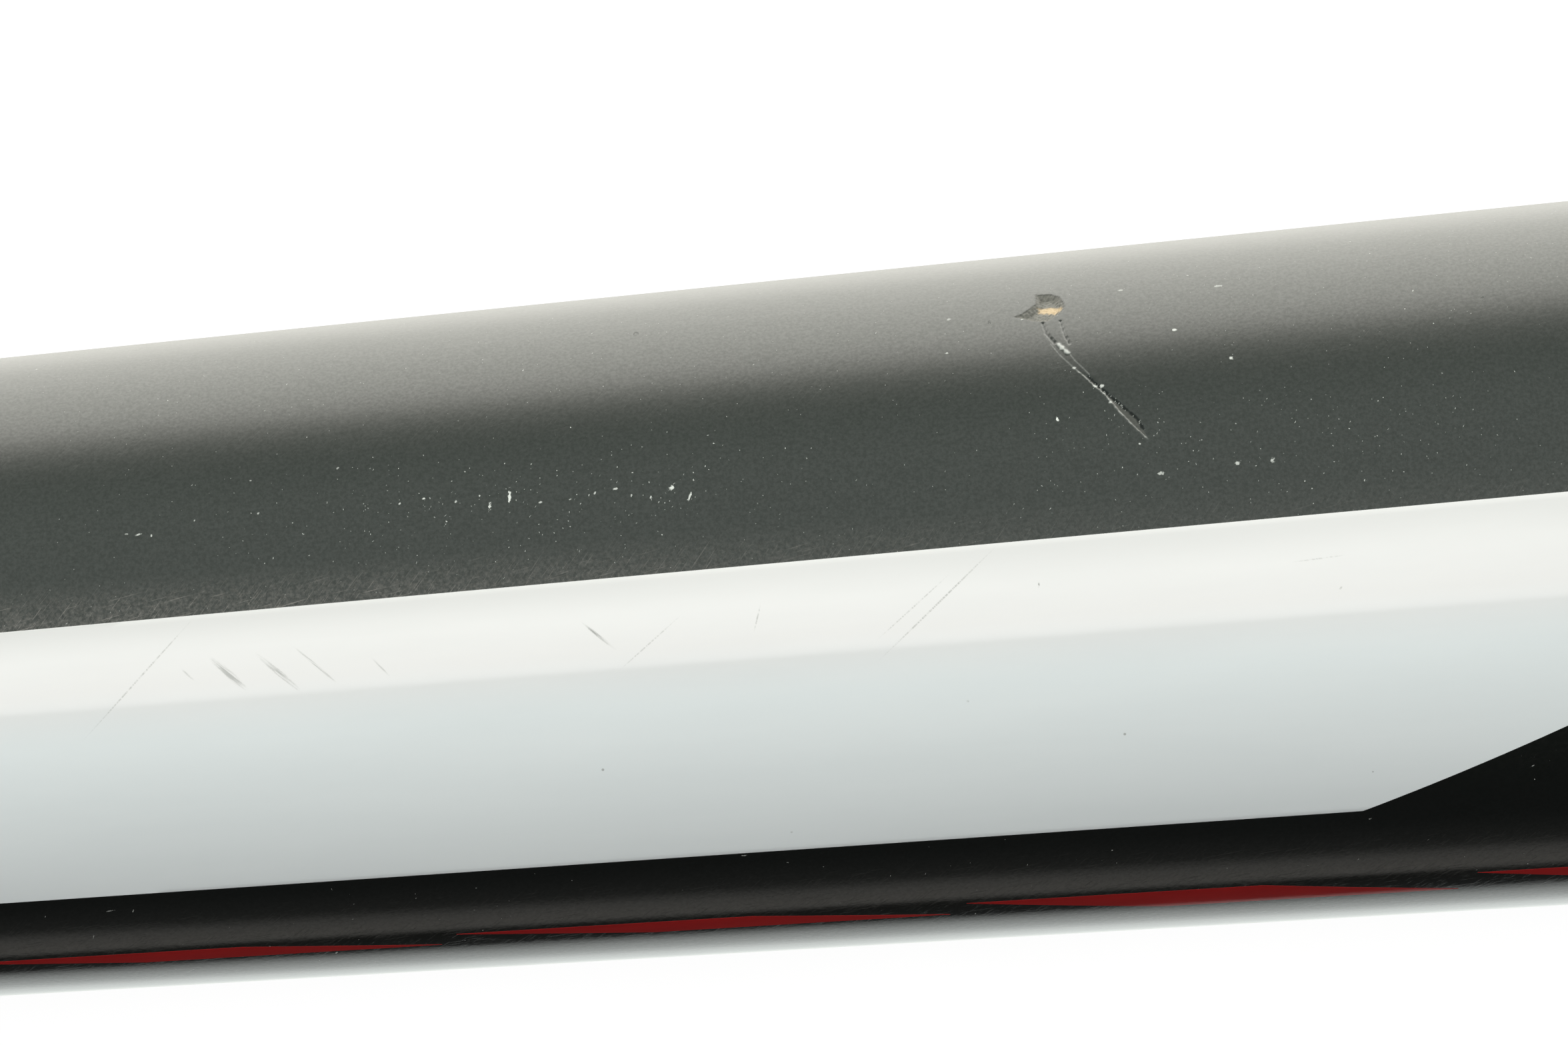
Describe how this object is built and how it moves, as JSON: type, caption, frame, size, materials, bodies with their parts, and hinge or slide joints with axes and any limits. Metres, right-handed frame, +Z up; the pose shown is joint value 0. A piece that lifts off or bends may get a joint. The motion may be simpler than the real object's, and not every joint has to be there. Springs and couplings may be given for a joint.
{
  "type": "baseball bat",
  "caption": "Two-piece composite baseball bat with a long tapered barrel, wound grip, round knob and rounded end cap; black with white panels and red slanted stripes.",
  "frame": {"origin": "middle of the knob's face, on the bat's axis", "axes": "+X along the bat's axis from the knob to the end cap, +Z up with the bat lying down, -Y the side with the front panel"},
  "size_m": [0.838, 0.0666, 0.0666],
  "materials": {
    "barrel_paint": "gloss black paint on composite, chipped and scuffed by use",
    "bare_composite": "unpainted fibre composite",
    "cap_plastic": "satin moulded black urethane",
    "adhesive": "cured epoxy",
    "weight_brass": "turned, dull",
    "handle_paint": "gloss black paint on composite",
    "sleeve_rubber": "matte elastomer",
    "collar_rubber": "satin elastomer",
    "foam": "closed-cell foam",
    "knob_plastic": "satin moulded black urethane",
    "disc_plastic": "plain gloss red disc",
    "grip_tape": "matte perforated polyurethane tape, wound with an overlap",
    "band_tape": "vinyl finishing tape",
    "white_film": "gloss white film under clear coat, scuffed",
    "red_film": "gloss dark red film under clear coat"
  },
  "bodies": {
    "root": {"barrel_shell": "barrel_paint", "barrel_liner": "bare_composite", "barrel_ring": "bare_composite", "end_cap": "cap_plastic", "end_cap_bond": "adhesive", "balance_weight": "weight_brass", "handle_tube": "handle_paint", "joint_sleeve": "sleeve_rubber", "transition_collar": "collar_rubber", "handle_foam": "foam", "knob": "knob_plastic", "knob_bond": "adhesive", "knob_disc": "disc_plastic", "grip_wrap": "grip_tape", "grip_band": "band_tape", "white_panel_front": "white_film", "white_panel_back": "white_film", "red_flashes_front": "red_film", "red_flashes_back": "red_film"}
  },
  "joints": []
}
